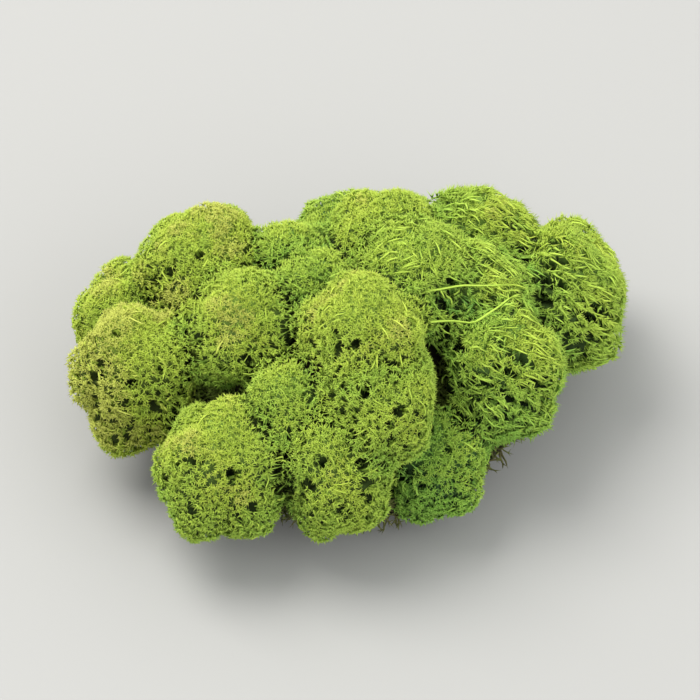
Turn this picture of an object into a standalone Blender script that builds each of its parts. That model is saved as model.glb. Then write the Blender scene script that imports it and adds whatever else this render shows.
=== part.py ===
"""Reindeer moss clump: rounded heads of branchlets, crowded on a tangle of old stems.

Each head is a lumpy dome whose surface is raised into leaning branchlet tips. The heads press
against each other, so every head stays inside its own cell, bounded by flat planes between it and
what it touches. The old stems fill the room below the heads, show forked ends at the sides, and end
in the small flat spot that the clump rests on. Sizes are in millimetres, and MM turns them into metres.
"""
import math

import bmesh
import bpy
import numpy as np

MM = 0.001
GOLDEN_ANGLE = math.pi * (3 - math.sqrt(5))
GAP = 0.3
DOWN = np.array((0.0, 0.0, -1.0))

# Heads: centre x, y and z, radius, and height as a share of the width
HEADS = {
    "head_left": (-35.5, -5.5, 20.5, 11.5, 1.5),
    "head_left_back": (-36, 11, 15, 11.5, 1.3),
    "head_upper_left": (-24, 12, 27.5, 12.5, 1.15),
    "head_small_upper": (-9, 10, 33, 8, 1.1),
    "head_mid_left": (-17, -4, 31, 11, 1.1),
    "head_middle": (-5, 1.5, 34, 8.5, 1.1),
    "head_upper": (6.5, 14, 32.5, 11.5, 1.05),
    "head_crown_back": (12.5, 3.5, 36.5, 11, 1.0),
    "head_crown": (3.5, -11.5, 38, 12, 1.0),
    "head_front": (6, -20, 29.5, 11, 1.2),
    "head_small_front": (-9, -18, 27, 8.5, 1.2),
    "head_front_left": (-20.5, -24.5, 18, 12, 1.3),
    "head_front_low": (-1, -25.5, 18.5, 11, 1.3),
    "head_shoulder": (22, 2.5, 30, 11, 1.15),
    "head_right": (27, -8, 23.5, 11.5, 1.35),
    "head_upper_right": (22.5, 16.5, 28, 12, 1.15),
    "head_far_right": (38, 10, 22, 12, 1.4),
    "head_front_right": (15.5, -19, 13, 10, 1.15),
    "head_back_left": (-22, 22, 16, 12, 1.15),
    "head_back": (0, 24.5, 17, 12, 1.15),
    "head_back_right": (22, 26, 16.5, 11.5, 1.2),
    "head_right_back": (38, 23, 14, 10.5, 1.25),
}
FLOOR_CLEARANCE = 1.5
NEIGHBOUR_MARGIN = 1.2
HEAD_SEED = 100

# Lumps that make up a head's dome, as shares of its radius
LUMP_COUNT = 10
LUMP_LOWEST = -0.6
LUMP_OFFSET = 0.56
LUMP_RADIUS = 0.45
LUMP_JITTER = 0.12
MIDDLE_RADIUS = 0.8

# Branchlet tips raised from a head's dome
HEAD_GRID = 3
VALLEY_SHARE = 0.81
VALLEY_JITTER = 0.04
TIP_CENTRING = 6.0
TIP_JITTER = 0.07
CREASE_SHARE = 0.87
STEM_SIDE_COSINE = 0.74

# Old stems: a mound under the heads, cut level where it rests
MOUND_CENTRE = np.array((0.0, 0.0, 9.0))
MOUND_HALF_WIDTH = 37.0
MOUND_HALF_DEPTH = 31.0
MOUND_UPPER_HEIGHT = 34.0
MOUND_LOWER_HEIGHT = 11.5
MOUND_GRID = 3
MOUND_ROUGHNESS = 0.08
MOUND_SEED = 7
FOOT_SHARE = 0.6
FOOT_HEIGHT = 4.0
STEM_CUT = 0.66

# Forked stem ends that stand out of the mound where it shows
FORK_DIRECTIONS = 330
FORK_WIDTH = 2.2
FORK_ROOT = 0.8
FORK_SADDLE = 1.0
FORK_TIP = 1.12
FORK_TIP_JITTER = 0.04
FORK_SPREAD = 0.11
OPEN_SHARE = 0.93
REST_LEVEL = 0.6

GREEN = (0.26, 0.37, 0.05, 1.0)
YELLOW_GREEN = (0.34, 0.43, 0.06, 1.0)
DEEP_GREEN = (0.16, 0.26, 0.04, 1.0)
OLD_STEM = (0.13, 0.12, 0.05, 1.0)
HEAD_ROUGHNESS = 0.9
STEM_ROUGHNESS = 0.95
YELLOWEST = ("head_left", "head_upper_left", "head_crown", "head_mid_left", "head_front")
DEEPEST = ("head_front_right", "head_back_left", "head_back", "head_back_right", "head_right_back")


def unit(vectors):
    """Vectors scaled to length one."""
    return vectors / np.linalg.norm(vectors, axis=-1, keepdims=True)


def spread_directions(count, lowest=-1.0):
    """Even directions on the unit sphere, from straight up down to a lowest z."""
    steps = np.arange(count) + 0.5
    z = 1 - steps / count * (1 - lowest)
    ring = np.sqrt(1 - z ** 2)
    turn = steps * GOLDEN_ANGLE
    return np.stack((ring * np.cos(turn), ring * np.sin(turn), z), axis=1)


def side_axes(direction):
    """Two unit vectors that are square to a direction and to each other."""
    helper = np.array((0.0, 0.0, 1.0)) if abs(direction[2]) < 0.9 else np.array((1.0, 0.0, 0.0))
    first = unit(np.cross(helper, direction))
    return first, np.cross(direction, first)


def hold_in_cell(offsets, planes):
    """Pull points back towards the cell's centre where they pass one of its planes."""
    held = np.array(offsets, dtype=float)
    for normal, limit in planes:
        along = held @ normal
        past = along > limit
        held[past] *= (limit / along[past])[:, None]
    return held


class Head:
    """Place, lumpy dome and cell of one head."""

    def __init__(self, index, name):
        x, y, z, radius, tallness = HEADS[name]
        self.name = name
        self.centre = np.array((x, y, z), dtype=float)
        self.radius = radius
        self.stretch = np.array((1.0, 1.0, tallness))
        self.random = np.random.RandomState(HEAD_SEED + index)
        directions = spread_directions(LUMP_COUNT, LUMP_LOWEST)
        directions = unit(directions + self.random.normal(0, LUMP_JITTER, directions.shape))
        size = 1 + self.random.uniform(-LUMP_JITTER, LUMP_JITTER, LUMP_COUNT)
        middle = np.zeros((1, 3))
        self.lump_centres = np.vstack((directions * LUMP_OFFSET * radius, middle))
        self.lump_radii = np.append(LUMP_RADIUS * radius * size, MIDDLE_RADIUS * radius)
        self.planes = [(DOWN, z - FLOOR_CLEARANCE)]

    def dome(self, directions):
        """Offsets from the centre to the lumpy surface, before the cell bounds it."""
        directions = unit(directions)
        along = directions @ self.lump_centres.T
        beyond = self.lump_radii ** 2 - (self.lump_centres ** 2).sum(axis=1) + along ** 2
        reach = np.where(beyond > 0, along + np.sqrt(np.maximum(beyond, 0)), 0).max(axis=1)
        return directions * reach[:, None] * self.stretch

    def extent(self, normal):
        """How far the head's ellipsoid reaches along a unit normal."""
        return self.radius * np.linalg.norm(self.stretch * normal)

    def stem_axis(self):
        """Unit vector from the head's centre down to the foot of its stem."""
        foot = self.centre * FOOT_SHARE + MOUND_CENTRE * (1 - FOOT_SHARE)
        foot[2] = FOOT_HEIGHT
        return unit(foot - self.centre)


def bound_cells(heads):
    """Give each head the planes between it, its neighbours and the old stems."""
    for first in heads:
        for second in heads:
            if first is second:
                continue
            between = second.centre - first.centre
            distance = np.linalg.norm(between)
            normal = between / distance
            near = first.extent(normal)
            far = second.extent(normal)
            if NEIGHBOUR_MARGIN * (near + far) < distance:
                continue
            limit = (distance ** 2 + near ** 2 - far ** 2) / (2 * distance)
            first.planes.append((normal, limit - GAP / 2))
        axis = first.stem_axis()
        first.planes.append((axis, STEM_CUT * first.extent(axis) - GAP / 2))


def mound_planes(heads):
    """Planes that keep the old stems below every head."""
    planes = [(DOWN, MOUND_CENTRE[2])]
    for head in heads:
        axis = head.stem_axis()
        foot = head.centre + axis * (STEM_CUT * head.extent(axis) + GAP / 2)
        planes.append((-axis, float((foot - MOUND_CENTRE) @ -axis)))
    return planes


def mesh_object(name, points, faces):
    """Object with a mesh from points in millimetres."""
    mesh = bpy.data.meshes.new(name)
    mesh.from_pydata([tuple(point) for point in np.asarray(points) * MM], [], faces)
    body = bpy.data.objects.new(name, mesh)
    work = bmesh.new()
    work.from_mesh(mesh)
    bmesh.ops.recalc_face_normals(work, faces=work.faces)
    work.to_mesh(mesh)
    work.free()
    return body


def ball_grid(subdivisions):
    """Directions and triangles of an icosphere."""
    work = bmesh.new()
    bmesh.ops.create_icosphere(work, subdivisions=subdivisions, radius=1.0)
    directions = np.array([vertex.co[:] for vertex in work.verts])
    faces = [[vertex.index for vertex in face.verts] for face in work.faces]
    work.free()
    return unit(directions), faces


def head_solid(head):
    """One head: a lumpy dome whose surface is raised into leaning branchlet tips."""
    grid, triangles = ball_grid(HEAD_GRID)
    directions = unit(grid / head.stretch)
    surface = head.dome(directions)
    on_stem = unit(surface) @ head.stem_axis() > STEM_SIDE_COSINE
    sunk = VALLEY_SHARE + head.random.uniform(-VALLEY_JITTER, VALLEY_JITTER, len(grid))
    surface[~on_stem] *= sunk[~on_stem, None]
    points = list(hold_in_cell(surface, head.planes))
    faces = []
    for corners in triangles:
        leaned = unit(head.random.dirichlet((TIP_CENTRING,) * 3) @ directions[corners])
        outer = head.dome(leaned[None]) * (1 + head.random.uniform(-TIP_JITTER, TIP_JITTER))
        tip = hold_in_cell(outer, head.planes)
        in_crease = np.linalg.norm(tip) < CREASE_SHARE * np.linalg.norm(outer)
        if in_crease or on_stem[corners].any():
            faces.append(tuple(corners))
            continue
        a, b, c = corners
        top = len(points)
        points.append(tip[0])
        faces += [(a, b, top), (b, c, top), (c, a, top)]
    return mesh_object(head.name, np.array(points) + head.centre, faces)


def mound_reach(directions):
    """Distance from the mound's centre to its rounded surface, before its cell bounds it."""
    height = np.where(directions[:, 2] > 0, MOUND_UPPER_HEIGHT, MOUND_LOWER_HEIGHT)
    width = np.full(len(directions), MOUND_HALF_WIDTH)
    depth = np.full(len(directions), MOUND_HALF_DEPTH)
    return 1 / np.linalg.norm(directions / np.stack((width, depth, height), axis=1), axis=1)


def fork(direction, reach, planes, random):
    """Stem end with two tips: a three-sided root in the mound, a saddle and a tip on each side of it."""
    across, up = side_axes(direction)
    turn = random.uniform(0, 2 * math.pi)
    points = []
    for corner in range(3):
        around = turn + corner * 2 * math.pi / 3
        sideways = math.cos(around) * across + math.sin(around) * up
        points.append(direction * reach * FORK_ROOT + sideways * FORK_WIDTH)
    points.append(direction * reach * FORK_SADDLE)
    for corner in range(2):
        around = turn + (corner * 2 + 1) * math.pi / 3
        sideways = math.cos(around) * across + math.sin(around) * up
        share = FORK_TIP + random.uniform(-FORK_TIP_JITTER, FORK_TIP_JITTER)
        points.append(direction * reach * share + sideways * reach * FORK_SPREAD)
    points = hold_in_cell(points, planes)
    faces = [(0, 2, 1), (2, 0, 3), (0, 1, 4), (1, 3, 4), (3, 0, 4), (1, 2, 5), (2, 3, 5), (3, 1, 5)]
    return mesh_object("fork", points + MOUND_CENTRE, faces)


def old_stems(heads):
    """The mound of old stems under the heads, with forked ends where it shows."""
    random = np.random.RandomState(MOUND_SEED)
    planes = mound_planes(heads)
    directions, faces = ball_grid(MOUND_GRID)
    roughness = 1 + random.uniform(-MOUND_ROUGHNESS, MOUND_ROUGHNESS, len(directions))
    mound = directions * (mound_reach(directions) * roughness)[:, None]
    body = mesh_object("old_stems", hold_in_cell(mound, planes) + MOUND_CENTRE, faces)
    above_rest = [(DOWN, MOUND_CENTRE[2] - REST_LEVEL)] + planes[1:]
    ends = []
    for direction in spread_directions(FORK_DIRECTIONS):
        reach = mound_reach(direction[None])[0]
        held = hold_in_cell(direction[None] * reach, above_rest)
        if np.linalg.norm(held) > OPEN_SHARE * reach:
            ends.append(fork(direction, reach, above_rest, random))
    return joined(body, ends)


def joined(body, additions):
    """Join closed solids into the body with one union, and drop what stays loose."""
    collection = bpy.data.collections.new(body.name + "_additions")
    bpy.context.scene.collection.children.link(collection)
    for addition in additions:
        collection.objects.link(addition)
    bpy.context.scene.collection.objects.link(body)
    union = body.modifiers.new("union", "BOOLEAN")
    union.operation = "UNION"
    union.operand_type = "COLLECTION"
    union.collection = collection
    union.solver = "MANIFOLD"
    evaluated = body.evaluated_get(bpy.context.evaluated_depsgraph_get())
    mesh = bpy.data.meshes.new_from_object(evaluated)
    body.modifiers.clear()
    separate = body.data
    body.data = mesh
    bpy.data.meshes.remove(separate)
    for addition in additions:
        shape = addition.data
        bpy.data.objects.remove(addition)
        bpy.data.meshes.remove(shape)
    bpy.data.collections.remove(collection)
    keep_largest_shell(mesh)
    return body


def keep_largest_shell(mesh):
    """Remove every shell of a mesh but the one with the most faces."""
    work = bmesh.new()
    work.from_mesh(mesh)
    unseen = set(work.verts)
    shells = []
    while unseen:
        stack = [unseen.pop()]
        shell = []
        while stack:
            vertex = stack.pop()
            shell.append(vertex)
            for edge in vertex.link_edges:
                other = edge.other_vert(vertex)
                if other in unseen:
                    unseen.remove(other)
                    stack.append(other)
        shells.append(shell)
    shells.sort(key=len)
    for shell in shells[:-1]:
        bmesh.ops.delete(work, geom=shell, context="VERTS")
    work.to_mesh(mesh)
    work.free()


def paint(body, colour, roughness):
    """Give an object its own plain material."""
    material = bpy.data.materials.new(body.name)
    material.use_nodes = True
    shader = material.node_tree.nodes["Principled BSDF"]
    shader.inputs["Base Color"].default_value = colour
    shader.inputs["Roughness"].default_value = roughness
    shader.inputs["Metallic"].default_value = 0.0
    body.data.materials.clear()
    body.data.materials.append(material)


def main():
    """Build the whole clump."""
    for old in list(bpy.data.objects):
        bpy.data.objects.remove(old)
    heads = [Head(index, name) for index, name in enumerate(HEADS)]
    bound_cells(heads)
    for head in heads:
        colour = GREEN
        if head.name in YELLOWEST:
            colour = YELLOW_GREEN
        if head.name in DEEPEST:
            colour = DEEP_GREEN
        body = head_solid(head)
        bpy.context.scene.collection.objects.link(body)
        paint(body, colour, HEAD_ROUGHNESS)
    paint(old_stems(heads), OLD_STEM, STEM_ROUGHNESS)


main()
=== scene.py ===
"""Looks of the reindeer moss clump: finely branched heads and the tangle of old stems.

Every head is grown as a tree. Its outermost twigs end in small stars on a lumpy surface, and they
meet in tufts, boughs and limbs that run together at the stem. Lengths are in millimetres, and MM
turns them into metres. Each strand carries two values from 0 to 1 for its colour: its tip value
runs from the dark inside to the outermost tips, and its tone from blue green to straw yellow.
The darkening inward along the tip value is painted shade, and the tone also drops towards blue
green as painted shade on shaded sides, in creases and in the hollow on the shoulder.
"""
import math

import bmesh
import bpy
import numpy as np
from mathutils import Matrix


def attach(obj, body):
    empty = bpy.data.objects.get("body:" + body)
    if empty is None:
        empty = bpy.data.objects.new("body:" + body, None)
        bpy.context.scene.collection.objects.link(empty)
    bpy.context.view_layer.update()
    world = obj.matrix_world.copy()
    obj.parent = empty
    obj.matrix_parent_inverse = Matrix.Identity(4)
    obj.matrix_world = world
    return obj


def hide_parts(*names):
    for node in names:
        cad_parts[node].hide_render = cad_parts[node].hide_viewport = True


MM = 0.001
GOLDEN_ANGLE = math.pi * (3 - math.sqrt(5))
DOWN = np.array((0.0, 0.0, -1.0))
UP = np.array((0.0, 0.0, 1.0))

# Area that each of many evenly spread points takes, to its spacing squared; fineness of a ball
CELL_AREA = 0.87
BALL_SUBDIVISIONS = 5

# Least distance of tip and tone values from 0 and 1, by which tone also varies round a strand
VALUE_MARGIN = 0.004

# Heads, placed as in the solids: centre x, y and z, radius, height as a share of the width
HEADS = {
    "head_left": (-35.5, -5.5, 20.5, 11.5, 1.5),
    "head_left_back": (-36, 11, 15, 11.5, 1.3),
    "head_upper_left": (-24, 12, 27.5, 12.5, 1.15),
    "head_small_upper": (-9, 10, 33, 8, 1.1),
    "head_mid_left": (-17, -4, 31, 11, 1.1),
    "head_middle": (-5, 1.5, 34, 8.5, 1.1),
    "head_upper": (6.5, 14, 32.5, 11.5, 1.05),
    "head_crown_back": (12.5, 3.5, 36.5, 11, 1.0),
    "head_crown": (3.5, -11.5, 38, 12, 1.0),
    "head_front": (6, -20, 29.5, 11, 1.2),
    "head_small_front": (-9, -18, 27, 8.5, 1.2),
    "head_front_left": (-20.5, -24.5, 18, 12, 1.3),
    "head_front_low": (-1, -25.5, 18.5, 11, 1.3),
    "head_shoulder": (22, 2.5, 30, 11, 1.15),
    "head_right": (27, -8, 23.5, 11.5, 1.35),
    "head_upper_right": (22.5, 16.5, 28, 12, 1.15),
    "head_far_right": (38, 10, 22, 12, 1.4),
    "head_front_right": (15.5, -19, 13, 10, 1.15),
    "head_back_left": (-22, 22, 16, 12, 1.15),
    "head_back": (0, 24.5, 17, 12, 1.15),
    "head_back_right": (22, 26, 16.5, 11.5, 1.2),
    "head_right_back": (38, 23, 14, 10.5, 1.25),
}
FLOOR_CLEARANCE = 1.5
NEIGHBOUR_MARGIN = 1.2
HEAD_SEED = 100

# Lumps that make up a head's dome, as shares of its radius
LUMP_COUNT = 10
LUMP_LOWEST = -0.6
LUMP_OFFSET = 0.56
LUMP_RADIUS = 0.45
LUMP_JITTER = 0.12
MIDDLE_RADIUS = 0.8
LUMP_BLEND = 0.8

# Mound of old stems under the heads, and the foot of each head's stem in it
MOUND_CENTRE = np.array((0.0, 0.0, 9.0))
MOUND_HALF_WIDTH = 37.0
MOUND_HALF_DEPTH = 31.0
MOUND_UPPER_HEIGHT = 34.0
MOUND_LOWER_HEIGHT = 11.5
MOUND_FLATNESS = np.array((1.0, 1.0, 1.6))
FOOT_SHARE = 0.6
FOOT_HEIGHT = 4.0
STEM_CUT = 0.66

# Tangle of old stems: its middle, dark as painted shade, and the strands that start on it where no head
# covers it
TANGLE_SEED = 7
MIDDLE_SHARE = 0.8
MIDDLE_SLACK = 4.0
MIDDLE_UNEVENNESS = 0.05
MIDDLE_LOWEST = 0.6
MIDDLE_TIP = 0.01
MIDDLE_TIP_RISE = 0.001
MIDDLE_TONE = 0.3
STEM_TRIES = 14000
STEM_COUNT = 5200
STEM_LOWEST = -0.9
STEM_HIGHEST = 0.6
STEM_COVER = 2.0
STEM_BENDS = 3
STEM_WANDER = 0.35
STEM_STEPS = (0.9, 1.7)
STEM_LEAN_OUT = 0.4
STEM_LEAN_UP = 0.1
STEM_REACH = 0.97
STEM_RADII = (0.28, 0.17)
STEM_THICKNESSES = (0.7, 1.25)
STEM_TIP = 0.15
STEM_TIP_HEIGHT = 50.0
STEM_TIP_HIGHEST = 0.6
STEM_TIP_SCATTER = 0.05
STEM_TIP_RISE = 0.15
STEM_TONE = 0.4
STEM_TONE_SCATTER = 0.12
STEM_CLEARANCE = 0.4
FORK_COUNT = 2
FORK_WANDER = 0.6
FORK_LENGTHS = (0.8, 1.5)
FORK_THINNING = 0.9
FORK_TONE = 0.45
FORK_CLEARANCE = 0.3

# Merged surface of the heads, on which the outermost stars sit
BLEND = 1.6
LEVEL_STEPS = 5
LEVEL_DAMPING = 0.8
SLOPE_STEP = 0.3
BORDER = 0.5
CREASE_WIDTH = 1.5
MOUND_MARGIN = 1.5
STEM_SIDE_COSINE = 0.8
SURFACE_JITTER = 0.3
STAR_DEPTH = 0.45
STAR_LIFT = 0.1
STAR_UNEVENNESS = 0.3
RELIEF_HEIGHT = 0.45
TUFT_SAG = 0.2

# Fine ridges that the stars stand on, wider on top of a head and finer where it is combed
RIDGE_SIDE = 0.75
RIDGE_TOP = 1.3
RIDGE_HEIGHT = 0.5
RIDGE_DRAW = 0.8
RIDGE_NARROWING = 0.45

# Joints of a head's tree, from the outside in, and the strands that join them
SITE_SPACING = 0.86
TUFT_SPACING = 2.8
BOUGH_SPACING = 5.5
LIMB_SPACING = 11.0
TUFT_DEPTH = 2.4
TUFT_CLEARANCE = 1.3
BOUGH_SHARE = 0.72
LIMB_SHARE = 0.6
ROOT_PULL = 0.15
TUFT_JITTER = 0.25
BOUGH_JITTER = 0.3
LIMB_JITTER = 0.4
LEAST_GROUPS = 4
GROUP_JITTER = 0.25
LIMB_SWAY = 0.12
TWIG_SWAY = 0.1
LIMB_RADII = (1.2, 0.8)
BOUGH_RADII = (0.7, 0.5)
TUFT_RADII = (0.4, 0.28)
TWIG_RADIUS = 0.26
# Tip values from the stem out: lower further in, as painted shade; twigs darken more on shaded sides,
# also painted shade
LIMB_TIPS = (0.15, 0.25)
BOUGH_TIPS = (0.25, 0.45)
TUFT_TIPS = (0.45, 0.65)
TWIG_TIPS = np.array((0.6, 0.84))
TWIG_SHADE = 0.08

# Stars of pointed branchlets at the ends of the twigs
STAR_POINTS = 5
STAR_ROOT = 0.3
STAR_UPRIGHT = 0.5
STAR_SCATTER = 0.3
STAR_SPREADS = (0.7, 1.7)
STAR_LENGTHS = (0.7, 1.15)
STAR_CLEARANCE = 0.9
STAR_RADIUS = 0.19
STAR_THINNING = 0.08
STAR_TIPS = np.array((0.78, 0.99))
STAR_SHADE = 0.14
COMB_LEAN = 1.8
COMB_LENGTHENING = 0.7

# Smaller stars deeper in, darkened with painted shade: all over, and in further layers in the creases
# and the holes
UNDER_SPACING = 1.32
UNDER_POINTS = 3
UNDER_DEPTH = 1.3
UNDER_UNEVENNESS = 0.8
UNDER_RISE = 0.5
UNDER_LENGTHS = (0.6, 1.1)
UNDER_RADIUS = 0.18
UNDER_TIPS = np.array((0.5, 0.76))
UNDER_SHADE = 0.22
UNDER_ROOT = 0.5
UNDER_TONE = 0.1
LAYER_DEPTH = 1.6
LAYER_SHADE = 0.15
CREASE_LAYER = 1.0
HOLE_LAYER = 1.3
CREASE_FILL = 0.35

# Dense inside of a head, dark with painted shade: lighter on top, darker in creases and in pits under
# the holes
CORE_DEPTH = 1.9
CREASE_DEPTH = 2.8
CORE_OVERLAP = 0.3
CORE_STEPS = 4
CORE_LONGEST_STEP = 2.0
CORE_UNEVENNESS = 0.5
CORE_LEAST_RADIUS = 1.0
CORE_TIP = 0.07
CORE_TOP_TIP = 0.3
CORE_CREASE_SHADE = 0.9
PIT_DEPTH = 0.34
PIT_WIDTH = 1.25

# Small openings where three tufts meet, with distances to them as shares of their radii
HOLE_MEETING = 0.5
HOLE_CREASE = 0.6
HOLE_RADII = (0.6, 1.15)
HOLE_EDGE = 0.3
HOLE_CHANCE = 0.74
HOLE_TOP_LOSS = 0.95
HOLE_CHANCE_LIMITS = (0.02, 0.8)
HOLE_DEPTH = 4.0
HOLE_GAP = 0.9
COMB_CHANCE = 0.3
COMB_NARROWING = 0.35
COMB_STRETCH = 3.2
FAR_AWAY = 9.0
LEAST_DISTANCE = 0.05

# Strands that curve round the openings
RIM_ARCS = 3
RIM_STATIONS = 5
RIM_TURNS = (0.5, 1.4)
RIM_CLEARANCE = 0.1
RIM_DRIFT = 1.6
RIM_STRETCH = 1.8
RIM_UNEVENNESS = 0.15
RIM_SINK = 0.9
RIM_LEVEL_LIMIT = 3.0
RIM_RADII = np.array((0.17, 0.2, 0.18, 0.14))
RIM_THICKNESSES = (0.8, 1.2)
RIM_TIPS = (0.6, 0.66, 0.72, 0.78, 0.86)
RIM_TONE = 0.25
CROSSFADE = np.array((np.linspace(1, 0, RIM_STATIONS), np.linspace(0, 1, RIM_STATIONS)))

# Longer fine strands that lie over the stars
FIBRE_CHANCE = 0.01
FIBRE_COMB_CHANCE = 0.25
FIBRE_ROOT = 0.5
FIBRE_BENDS = 4
FIBRE_WANDER = 0.16
FIBRE_RISE = 0.05
FIBRE_STEPS = (0.6, 1.2)
FIBRE_CLING = 0.7
FIBRE_RADII = np.array((0.15, 0.15, 0.14, 0.1))
FIBRE_THICKENING = 0.35
FIBRE_TIPS = np.array((0.6, 0.75, 0.85, 0.9, 0.95))
FIBRE_SHADE = 0.12

# How yellow each head is, and how far its twigs are combed to one side, both from 0 to 1
PLAIN_TONE = 0.46
TONES = {
    "head_left": 0.85,
    "head_left_back": 0.6,
    "head_upper_left": 0.75,
    "head_mid_left": 0.62,
    "head_crown": 0.68,
    "head_front": 0.6,
    "head_front_left": 0.6,
    "head_front_low": 0.6,
    "head_upper": 0.55,
    "head_front_right": 0.12,
    "head_right": 0.35,
    "head_small_upper": 0.35,
    "head_back": 0.25,
}
COMBED = {
    "head_shoulder": 0.8,
    "head_right": 0.6,
    "head_upper_right": 0.9,
    "head_far_right": 0.8,
    "head_crown_back": 0.4,
    "head_right_back": 0.6,
}
COMB_WAY = np.array((0.86, -0.4, -0.2))

# How tone changes over a head: in patches, from tuft to tuft, towards its shaded sides, inside it
TONE_PATCHES = 0.2
TONE_SCATTER = 0.06
TONE_LIFT = 0.2
TONE_SHADE = 0.5
TONE_INSIDE = 0.15
POINT_TONE_SCATTER = 0.03

# How open to the sky the surface is, for painted shade: its sides, what its top adds and what its
# creases lose
SIDE_OPENNESS = 0.55
TOP_OPENNESS = 0.6
CREASE_SHADE = 0.6

# Straw-coloured tips towards the clump's left edge, and the tone from which straw sets in
STRAW_TINT_EDGE = -38.0
STRAW_TINT_WIDTH = 8.0
STRAW_TINT_TONE = 0.25
STRAW_TINT_FROM = 0.9
STRAW_TINT_SHARE = 0.6

# Hollow on the shoulder, sunk in and darkened with painted shade, and the pale bare strands that pass
# above and below it
HOLLOW_CENTRE = np.array((19.6, -4.4, 39.8))
HOLLOW_HALF_LENGTHS = np.array((4.6, 1.9, 2.6))
HOLLOW_DEPTH = 2.8
HOLLOW_SHADE = 1.3
HOLLOW_TONE = 0.6
BARE_HEAD = "head_shoulder"
BARE_STRANDS = [
    [(14.6, -8.7, 40.1), (18.8, -7.1, 37.4), (22.9, -7.4, 37.4), (25.2, -5.4, 38.1), (27.8, -2.8, 38.7),
     (30.5, -0.6, 37.6)],
    [(12.5, -4.8, 42.7), (16.3, -3.6, 42.1), (20.2, -2.6, 41.2), (24.2, -1.5, 40.1), (28.0, -0.2, 38.8),
     (31.2, 0.4, 37.3)],
]
BARE_STATIONS = 16
BARE_START_SINK = 1.2
BARE_END_SINK = 0.5
BARE_SWAY = 0.25
BARE_RADII = (0.27, 0.17)
BARE_TIPS = (0.76, 0.88)
BARE_TONE = 0.55
BARE_SMOOTHINGS = 2

# Side branches of the bare strands: one at every so many stations, with one bend
BRANCH_EVERY = 3
BRANCH_WANDER = 0.6
BRANCH_BEND = 1.2
BRANCH_LENGTH = 2.1
BRANCH_DROOP = 0.3
BRANCH_RADII = (0.17, 0.13)
BRANCH_TIP = 0.84

# Linear colours along the tip value, whose dark low ends are painted shade: blue green, yellow green,
# straw, and the old stems
GREENER = [
    (0.0, (0.011, 0.022, 0.009)), (0.2, (0.04, 0.09, 0.024)), (0.5, (0.16, 0.33, 0.06)),
    (0.75, (0.24, 0.45, 0.07)), (0.88, (0.29, 0.51, 0.077)), (1.0, (0.33, 0.54, 0.087))]
YELLOWER = [
    (0.0, (0.015, 0.02, 0.006)), (0.2, (0.1, 0.13, 0.02)), (0.5, (0.35, 0.45, 0.053)),
    (0.75, (0.47, 0.58, 0.072)), (0.88, (0.51, 0.62, 0.082)), (1.0, (0.54, 0.64, 0.095))]
STRAW_TINT = [(0.0, (0.02, 0.02, 0.008)), (0.5, (0.34, 0.35, 0.075)), (1.0, (0.62, 0.61, 0.16))]
STEM_DARK = [
    (0.0, (0.012, 0.012, 0.007)), (0.2, (0.075, 0.07, 0.03)), (0.45, (0.1, 0.13, 0.035)),
    (0.7, (0.16, 0.25, 0.04)), (1.0, (0.25, 0.38, 0.06))]
STEM_PALE = [
    (0.0, (0.014, 0.013, 0.008)), (0.2, (0.16, 0.13, 0.065)), (0.45, (0.2, 0.2, 0.07)),
    (0.7, (0.26, 0.33, 0.06)), (1.0, (0.4, 0.5, 0.09))]
STEM_GREY = [(0.0, (0.02, 0.018, 0.012)), (0.5, (0.26, 0.23, 0.13)), (1.0, (0.45, 0.42, 0.24))]

# Felt of finest hairs: how many to a metre, and what it does to colour, roughness and bump
FELT_SCALE = 2600
FELT_DETAIL = 2
FELT_COLOUR = (0.85, 1.15)
FELT_ROUGHNESS = (0.7, 0.98)
BUMP_STRENGTH = 0.4
BUMP_HEIGHT = 0.0001
SPECULAR = 0.12

# Studio and camera, in metres, with the sensor in millimetres
FLOOR_SIZE = 3
FLOOR_COLOUR = (0.34, 0.34, 0.33, 1)
FLOOR_ROUGHNESS = 0.9
WORLD_STRENGTH = 1.18
TARGET = np.array((1.0, 0.0, 22.0)) * MM
KEY_OFFSET = np.array((-0.35, 0.15, 0.8))
FILL_OFFSET = np.array((0.6, -0.6, 0.5))
ELEVATION = math.radians(48.5)
CAMERA_DISTANCE = 1.6
VIEW_WIDTH = 0.12
SENSOR_WIDTH = 36


def unit(vectors):
    """Vectors scaled to length one."""
    return vectors / np.maximum(np.linalg.norm(vectors, axis=-1, keepdims=True), 1e-12)


def spread_directions(count, lowest=-1.0):
    """Even directions on the unit sphere, from straight up down to a lowest z."""
    steps = np.arange(count) + 0.5
    z = 1 - steps / count * (1 - lowest)
    ring = np.sqrt(1 - z ** 2)
    turn = steps * GOLDEN_ANGLE
    return np.stack((ring * np.cos(turn), ring * np.sin(turn), z), axis=1)


def hold_in_cell(offsets, planes, slack=0.0):
    """Pull points back towards the cell's centre where they pass one of its planes."""
    held = np.array(offsets, dtype=float)
    for normal, limit in planes:
        along = held @ normal
        past = along > limit + slack
        held[past] *= ((limit + slack) / along[past])[:, None]
    return held


def ball_grid():
    """Directions and triangles of an icosphere."""
    work = bmesh.new()
    bmesh.ops.create_icosphere(work, subdivisions=BALL_SUBDIVISIONS, radius=1.0)
    directions = np.array([vertex.co[:] for vertex in work.verts])
    triangles = np.array([[vertex.index for vertex in face.verts] for face in work.faces])
    work.free()
    return unit(directions), triangles


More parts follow.
